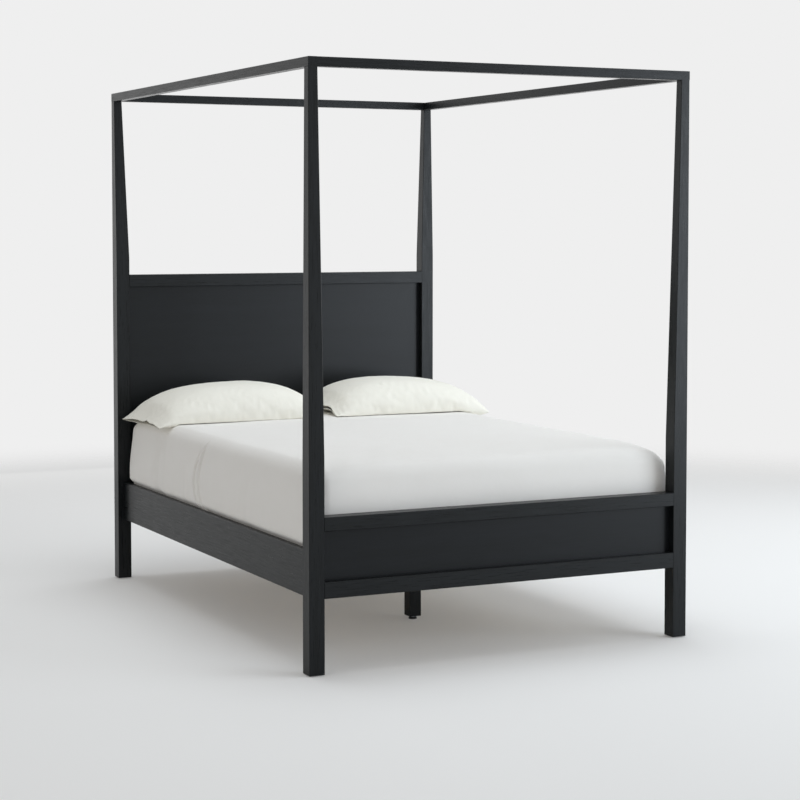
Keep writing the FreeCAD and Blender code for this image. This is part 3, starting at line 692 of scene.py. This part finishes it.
def settlePillow(side, plan):
    # cloth simulation of the filled sleeve: two layers sewn round the fill, with the flange as one
    # layer beyond it, pressure inside, gravity, and the bed beneath
    rows, columns, flange = plan["along"], plan["across"], plan["flange"]
    flat, upper, lower = sleeveArrays(plan, pillows[side])
    upperIndex, lowerIndex = sleeveIndex(rows - flange, columns)
    count = int(lowerIndex.max()) + 1
    hemIndex = np.concatenate([count + np.arange(flange * columns).reshape(flange, columns), upperIndex[:1]])
    count += flange * columns
    start = np.zeros((count, 3))
    rest = np.zeros((count, 3))
    for index, rowsOf, layer in (
            (lowerIndex, slice(flange, None), lower), (upperIndex, slice(flange, None), upper),
            (hemIndex, slice(0, flange + 1), upper)):
        start[index], rest[index] = layer[rowsOf], flat[rowsOf]
    faces = np.concatenate([quadsOf(upperIndex), quadsOf(lowerIndex)[:, ::-1], quadsOf(hemIndex)])
    sleeve = meshPiece("sleeve" + side.capitalize(), start, faces, caseCotton)
    sleeve.shape_key_add(name="Basis")
    cut = sleeve.shape_key_add(name="cut")
    cut.data.foreach_set("co", rest.ravel())
    # no pressure on the flange, and a slightly uneven fill elsewhere
    fill = 0.9 + 0.1 * waves(flat[..., 0] + 0.7 * flat[..., 1], 5, 0.12, 0.4, pillows[side]["seed"])
    weight = np.zeros(count)
    weight[lowerIndex] = fill[flange:]
    weight[upperIndex] = fill[flange:]
    weight = np.round(weight, 2)  # few levels, so that each is one call
    filled = sleeve.vertex_groups.new(name="filled")
    for level in np.unique(weight):
        filled.add(np.nonzero(weight == level)[0].tolist(), float(level), "REPLACE")
    cloth = sleeve.modifiers.new("settle", "CLOTH")
    settings = cloth.settings
    settings.quality = plan["quality"]
    settings.mass = plan["vertexMass"]
    settings.air_damping = plan["damping"]
    settings.tension_stiffness = settings.compression_stiffness = plan["stretch"]
    settings.shear_stiffness = plan["shear"]
    settings.bending_stiffness = plan["bending"]
    settings.use_pressure = True
    settings.uniform_pressure_force = 0
    settings.use_pressure_volume = True
    settings.target_volume = plan["volume"]
    settings.pressure_factor = plan["firmness"]
    settings.vertex_group_pressure = "filled"
    settings.rest_shape_key = cut
    cloth.collision_settings.distance_min = plan["touching"]
    cloth.collision_settings.collision_quality = plan["touchQuality"]
    cloth.collision_settings.friction = plan["friction"]
    frames = plan["frames"]
    cloth.point_cache.frame_end = frames
    for frameNumber in range(1, frames + 1):
        scene.frame_set(frameNumber)
    settled = sleeve.evaluated_get(bpy.context.evaluated_depsgraph_get()).to_mesh()
    points = np.zeros(count * 3)
    settled.vertices.foreach_get("co", points)
    points = points.reshape(-1, 3)
    bpy.data.objects.remove(sleeve)
    scene.frame_set(1)
    hem = points[hemIndex[:-1]]
    return flat, np.concatenate([hem, points[upperIndex]]), np.concatenate([hem, points[lowerIndex]])


def gridNormals(grid):
    # unit normals of a grid of points: the cross product of its two gradients
    along = np.gradient(grid, axis=0)
    across = np.gradient(grid, axis=1)
    normal = np.cross(along, across)
    return normal / np.maximum(np.linalg.norm(normal, axis=-1, keepdims=True), 1e-9)


def sitDown(plan, flat, upper, lower):
    # weight of the fill: both long seams sink to the sheet, and draw the layers near them down by a
    # bell curve of the distance; where it lies over the flat top, the lower layer stays above it
    rest = sheetHigh.z + plan["seamGap"]
    for seam, away in ((0, flat[..., 1]), (-1, plan["depth"] - flat[..., 1])):
        drop = np.maximum(upper[:, seam, 2] - rest - 0.001, 0)[:, None] * np.exp(-(away / plan["sink"]) ** 2)
        upper[..., 2] -= drop
        lower[..., 2] -= drop
    onTop = np.abs(lower[..., 0]) < plan["topEdge"]
    lower[..., 2] = np.where(onTop, np.maximum(lower[..., 2], rest), lower[..., 2])
    return upper, lower


def openHem(side, plan, upper, lower):
    # open end of the case: past the fill each layer goes straight out at its own slope, with a
    # wavy rim, and meets the other at the side seams; then each is drawn tight along its length
    flange = plan["flange"]
    spot = pillows[side]
    v = np.linspace(0, 1, plan["across"])
    apart = np.sin(np.pi * v) ** 0.6
    turn = math.radians(spot["turn"])
    out = np.array([-math.cos(turn), -math.sin(turn), 0.0])
    reach = (flange - np.arange(flange))[:, None, None] * plan["hemReach"] / flange
    middle = spot["upperDroop"] * 0.4 + spot["lowerDroop"] * 0.6
    layers = []
    for layer, droop, seed in ((upper, spot["upperDroop"], 1), (lower, spot["lowerDroop"], 2)):
        rim = waves(v * plan["depth"], 4, 0.09, 0.28, spot["seed"] + seed)
        slope = middle + (droop - middle) * apart + plan["hemWave"] * rim * apart
        slope = np.radians(slope)[:, None]
        way = out * np.cos(slope) + np.array([0, 0, -1.0]) * np.sin(slope)
        layer = layer.copy()
        layer[:flange] = layer[flange] + reach * way[None]
        for _ in range(plan["hemEvening"]):
            layer[1:flange + 5] = layer[1:flange + 5] * 0.5 + (layer[:flange + 4] + layer[2:flange + 6]) * 0.25
        layers.append(layer)
    rest = sheetHigh.z + plan["seamGap"]
    onTop = np.abs(layers[1][..., 0]) < plan["hemTopEdge"]
    layers[1][..., 2] = np.where(onTop, np.maximum(layers[1][..., 2], rest), layers[1][..., 2])
    layers[0][:, 1:-1, 2] = np.where(
        onTop[:, 1:-1], np.maximum(layers[0][:, 1:-1, 2], rest + 0.002), layers[0][:, 1:-1, 2])
    layers[0][:, [0, -1]] = layers[1][:, [0, -1]]
    return layers


def crumples(flat, plan, seed):
    # small creases of worn cotton: ridged waves (1 less twice the size of a bent sine) in seeded
    # directions, each in patches, strongest near the seams and nothing at the seam itself
    source = np.random.default_rng(seed)
    a, b = flat[..., 0], flat[..., 1]
    total = 0
    for crease in range(plan["creases"]):
        angle = source.uniform(0, np.pi)
        across = a * np.cos(angle) + b * np.sin(angle)
        along = b * np.cos(angle) - a * np.sin(angle)
        apart = source.uniform(*plan["creaseApart"])
        wave = np.sin(across * 2 * np.pi / apart + 2.2 * np.sin(along * 2 * np.pi / 0.31))
        patch = smoothStep(-0.2, 0.9, waves(along + 0.5 * across, 3, 0.12, 0.4, seed + crease))
        total = total + (1 - 2 * np.abs(wave)) * patch
    away = np.minimum(np.minimum(a, plan["length"] - a), np.minimum(b, plan["depth"] - b))
    return plan["crumple"] * total * (0.35 + 0.65 * smoothStep(0.16, 0.02, away)) * smoothStep(0, 0.012, away)


def makeCase(side, plan, flat, upper, lower):
    # pillowcase: both layers from the simulation, joined at three seams and open at the hem
    rows, columns = plan["along"], plan["across"]
    upper, lower = openHem(side, plan, upper, lower)
    seed = pillows[side]["seed"]
    upper = upper + gridNormals(upper) * crumples(flat, plan, seed)[..., None]
    lower = lower + gridNormals(lower) * (0.5 * crumples(flat, plan, seed + 9))[..., None]
    upperIndex, lowerIndex = sleeveIndex(rows, columns)
    lowerIndex[0, 1:-1] = lowerIndex.max() + 1 + np.arange(columns - 2)
    count = int(lowerIndex.max()) + 1
    points, uv = np.zeros((count, 3)), np.zeros((count, 2))
    for index, layer in ((lowerIndex, lower), (upperIndex, upper)):
        points[index], uv[index] = layer, flat[..., :2]
    faces = np.concatenate([quadsOf(upperIndex), quadsOf(lowerIndex)[:, ::-1]])
    case = meshPiece("pillowcase" + side.capitalize(), points, faces, caseCotton, uv)
    applyModifier(case, "SUBSURF", levels=1, render_levels=1)
    applyModifier(case, "SOLIDIFY", thickness=plan["thickness"], offset=-1.0)
    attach(case, "pillow_%s_body" % side)
    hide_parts("pillowcase_" + side)


def makeInner(side, plan, upper, lower):
    # filled ticking pillow inside the case: both layers moved inwards along their normals, evened
    # out, and brought together at the seams and at the hem end
    upper, lower = openHem(side, plan, upper, lower)
    upper = upper - gridNormals(upper) * plan["inset"]
    lower = lower + gridNormals(lower) * plan["inset"]
    first = plan["flange"] + 2
    middle = ((upper + lower) / 2)[first:-1, 1:-1]
    half = ((upper - lower) / 2)[first:-1, 1:-1]
    half[..., 2] = np.maximum(half[..., 2], 0.0006)
    rows, columns = middle.shape[:2]
    closing = np.minimum(np.arange(rows)[:, None] / 5, 1) ** 0.5
    half = half * closing[..., None]
    for layer in (middle, half):
        for _ in range(plan["fillEvening"]):
            layer[1:-1, 1:-1] = layer[1:-1, 1:-1] * 0.4 + 0.15 * (
                layer[:-2, 1:-1] + layer[2:, 1:-1] + layer[1:-1, :-2] + layer[1:-1, 2:])
    upperIndex, lowerIndex = sleeveIndex(rows, columns)
    points = np.zeros((int(lowerIndex.max()) + 1, 3))
    points[lowerIndex] = middle - half
    points[upperIndex[1:-1, 1:-1]] = (middle + half)[1:-1, 1:-1]
    rim = np.ones((rows, columns), bool)
    rim[1:-1, 1:-1] = False
    points[upperIndex[rim]] = middle[rim]
    faces = np.concatenate([quadsOf(upperIndex), quadsOf(lowerIndex)[:, ::-1]])
    inner = meshPiece("pillowInner" + side.capitalize(), points, faces, tickingCotton, points[:, :2])
    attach(inner, "pillow_%s_body" % side)
    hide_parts("pillow_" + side)


pillowRest = makeCollider()
for side in pillows:
    flat, upper, lower = settlePillow(side, pillowPlan)
    upper, lower = sitDown(pillowPlan, flat, upper, lower)
    makeInner(side, pillowPlan, upper, lower)
    makeCase(side, pillowPlan, flat, upper, lower)
bpy.data.objects.remove(pillowRest)
print("pillows ready")


# Fixings

screw = dict(
    radius=0.0042, dome=0.0009, sink=0.0006, rings=12, spokes=28,
    # the cross: half its width, its reach as a share of the radius, and its depth
    slot=0.0011, reach=0.62, depth=0.0016)
screwPlaces = dict(
    # corner plates: the first screw in from the corner, and the others along both arms from it
    plateIn=0.010, plateSteps=((0, 0), (0.040, 0), (0.078, 0), (0, 0.040), (0, 0.078)),
    # hangers: thickness of the flange, screws either side of the middle and in from top and bottom
    hangerFace=0.003, hangerOut=0.049, hangerIn=0.012,
    ledgerAlong=(-0.84, -0.42, 0.0, 0.42, 0.84), slatOut=0.013)
staple = dict(half=0.0055, radius=0.0006, innerEdge=0.335, apart=0.02, proud=0.0002)


def frameOn(normal):
    # two directions that lie in the surface, from cross products with its normal
    normal = np.asarray(normal, float)
    side = np.cross(normal, (0, 0, 1) if abs(normal[2]) < 0.5 else (0, 1, 0))
    side = side / np.linalg.norm(side)
    return side, np.cross(normal, side), normal


def screwHeads(name, spots):
    # raised countersunk heads: a shallow dome over a disc, less a cross that fades to its rim
    rings, spokes = screw["rings"], screw["spokes"]
    r = np.linspace(0, 1, rings)[:, None] * screw["radius"]
    angle = np.linspace(0, 2 * np.pi, spokes, endpoint=False)[None, :]
    x, y = r * np.cos(angle), r * np.sin(angle)
    dome = screw["dome"] * (1 - (r / screw["radius"]) ** 2) - screw["sink"] * (r >= screw["radius"] * 0.999)
    arms = np.maximum(*(smoothStep(1.0, 0.6, np.abs(over) / screw["slot"]) for over in (x, y)))
    inside = smoothStep(screw["reach"], screw["reach"] - 0.15, r / screw["radius"])
    head = np.stack([x, y, dome - screw["depth"] * arms * inside], axis=-1)
    faces = gridFaces(rings, spokes, True)
    points, quads = [], []
    for number, (place, normal) in enumerate(spots):
        side, other, up = frameOn(normal)
        turn = rng.uniform(0, np.pi)
        u = side * math.cos(turn) + other * math.sin(turn)
        v = np.cross(up, u)
        points.append(place + head[..., :1] * u + head[..., 1:2] * v + head[..., 2:] * up)
        quads.append(faces + number * rings * spokes)
    piece = meshPiece(name, np.array(points), np.concatenate(quads), zincSteel)
    closeGrid(piece, 0.000002)
    piece.data.set_sharp_from_angle(angle=math.radians(40))
    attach(piece, "bed_frame")


def plateScrews():
    # five to each corner plate of the canopy: one over the post, and two along each arm
    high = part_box("canopy_corner_plates")[1]
    corner = np.array([high.x - screwPlaces["plateIn"], high.y - screwPlaces["plateIn"]])
    spots = [
        (np.array([*((corner - step) * (sideX, sideY)), high.z]), (0, 0, 1))
        for sideX in (-1, 1) for sideY in (-1, 1) for step in np.array(screwPlaces["plateSteps"])]
    screwHeads("canopyPlateScrews", spots)


def baseScrews():
    # four through each beam hanger, five along each slat ledger, and one at each end of the end slats
    low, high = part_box("beam_hangers")
    face = high.y - screwPlaces["hangerFace"]
    out, inwards = screwPlaces["hangerOut"], screwPlaces["hangerIn"]
    hanger = [
        (np.array([x, end * face, z]), (0, -end, 0))
        for end in (-1, 1) for x in (-out, out) for z in (low.z + inwards, high.z - inwards)]
    ledgerLow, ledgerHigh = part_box("slat_ledger_right")
    ledgerFace = ledgerLow.x
    middle = (ledgerLow.z + ledgerHigh.z) / 2
    ledger = [
        (np.array([side * ledgerFace, y, middle]), (-side, 0, 0))
        for side in (-1, 1) for y in screwPlaces["ledgerAlong"]]
    slats = []
    for node in ("slat_01", "slat_13"):
        low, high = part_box(node)
        for side in (-1, 1):
            place = np.array([side * (ledgerFace + screwPlaces["slatOut"]), (low.y + high.y) / 2, high.z])
            slats.append((place, (0, 0, 1)))
    screwHeads("hangerScrews", hanger)
    screwHeads("ledgerScrews", ledger)
    screwHeads("slatScrews", slats)


def tapeStaples():
    # wire staples that hold the tapes to the underside of each slat: a thin tube with rounded
    # ends, crosswise on the tape
    rings, spokes = 9, 8
    along = np.linspace(-1, 1, rings)[:, None]
    around = np.linspace(0, 2 * np.pi, spokes, endpoint=False)[None, :]
    radius = staple["radius"] * np.sqrt(np.clip(1 - along ** 6, 0.02, 1))
    tube = np.stack([
        along * staple["half"] * np.ones_like(around), radius * np.cos(around), radius * np.sin(around)], axis=-1)
    low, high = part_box("slat_tapes")
    lane = (high.x + staple["innerEdge"]) / 2  # middle of a tape
    points, quads = [], []
    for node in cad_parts:
        if not node.startswith(("slat_0", "slat_1")):
            continue
        slatLow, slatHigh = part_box(node)
        for side in (-1, 1):
            for shift in (-staple["apart"], staple["apart"]):
                place = np.array([side * lane, (slatLow.y + slatHigh.y) / 2 + shift, low.z - staple["proud"]])
                quads.append(gridFaces(rings, spokes, True) + len(points) * rings * spokes)
                points.append(tube + place)
    piece = meshPiece("tapeStaples", np.array(points), np.concatenate(quads), zincSteel)
    closeGrid(piece, 0.000002)
    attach(piece, "bed_frame")


stem = dict(
    pin=0.003, pinLong=0.0038, collar=0.0075, collarHigh=0.003, chamfer=0.94, bevel=0.0003,
    crest=0.00398, root=0.0033, pitch=0.00125, runIn=0.002, runOut=0.0015, tip=0.85, spokes=36)


def levellingStem(end):
    # rolled M8 thread on a stem with a hexagon collar and a plain pin: at each height the radius is
    # the pin's, the hexagon's (flat distance over the cosine of the angle from the flat's middle),
    # or the thread's, a triangle wave of height less turn
    low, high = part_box("leveller_stem_" + end)
    collarLow = low.z + stem["pinLong"]
    collarTop = collarLow + stem["collarHigh"]
    spokes = stem["spokes"]
    angle = np.linspace(0, 2 * np.pi, spokes, endpoint=False)[None, :]
    flat = stem["collar"] * math.cos(math.pi / 6)
    hexagon = flat / np.cos((angle + np.pi / 6) % (np.pi / 3) - np.pi / 6)
    hexagon = hexagon * np.ones((4, 1))
    hexagon[[0, 3]] *= stem["chamfer"]
    threadZ = np.arange(collarTop, high.z, stem["pitch"] / 8)[:, None]
    phase = (threadZ / stem["pitch"] - angle / (2 * np.pi)) % 1
    wave = np.abs(phase * 2 - 1)
    fade = smoothStep(collarTop, collarTop + stem["runIn"], threadZ) * smoothStep(
        high.z, high.z - stem["runOut"], threadZ)
    thread = stem["root"] + (stem["crest"] - stem["root"]) * wave * fade
    ring = np.ones((1, spokes))
    radius = np.concatenate([
        0 * ring, stem["pin"] * ring, stem["pin"] * ring, hexagon, stem["root"] * ring, thread,
        stem["root"] * stem["tip"] * ring, 0 * ring])
    bevel = stem["bevel"]
    height = np.concatenate([
        [low.z, low.z, collarLow, collarLow, collarLow + bevel, collarTop - bevel, collarTop, collarTop],
        threadZ[:, 0], [high.z, high.z]])
    middle = (low + high) / 2
    points = np.stack([
        middle.x + radius * np.cos(angle), middle.y + radius * np.sin(angle),
        height[:, None] * np.ones_like(radius)], axis=-1)
    piece = meshPiece("threadedStem" + end.capitalize(), points, gridFaces(len(radius), spokes, True), zincSteel)
    closeGrid(piece, 0.000002)
    piece.data.set_sharp_from_angle(angle=math.radians(35))
    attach(piece, "leveller_stem_%s_body" % end)
    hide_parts("leveller_stem_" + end)


plateScrews()
baseScrews()
tapeStaples()
for end in ("foot", "head"):
    levellingStem(end)
print("fixings ready")
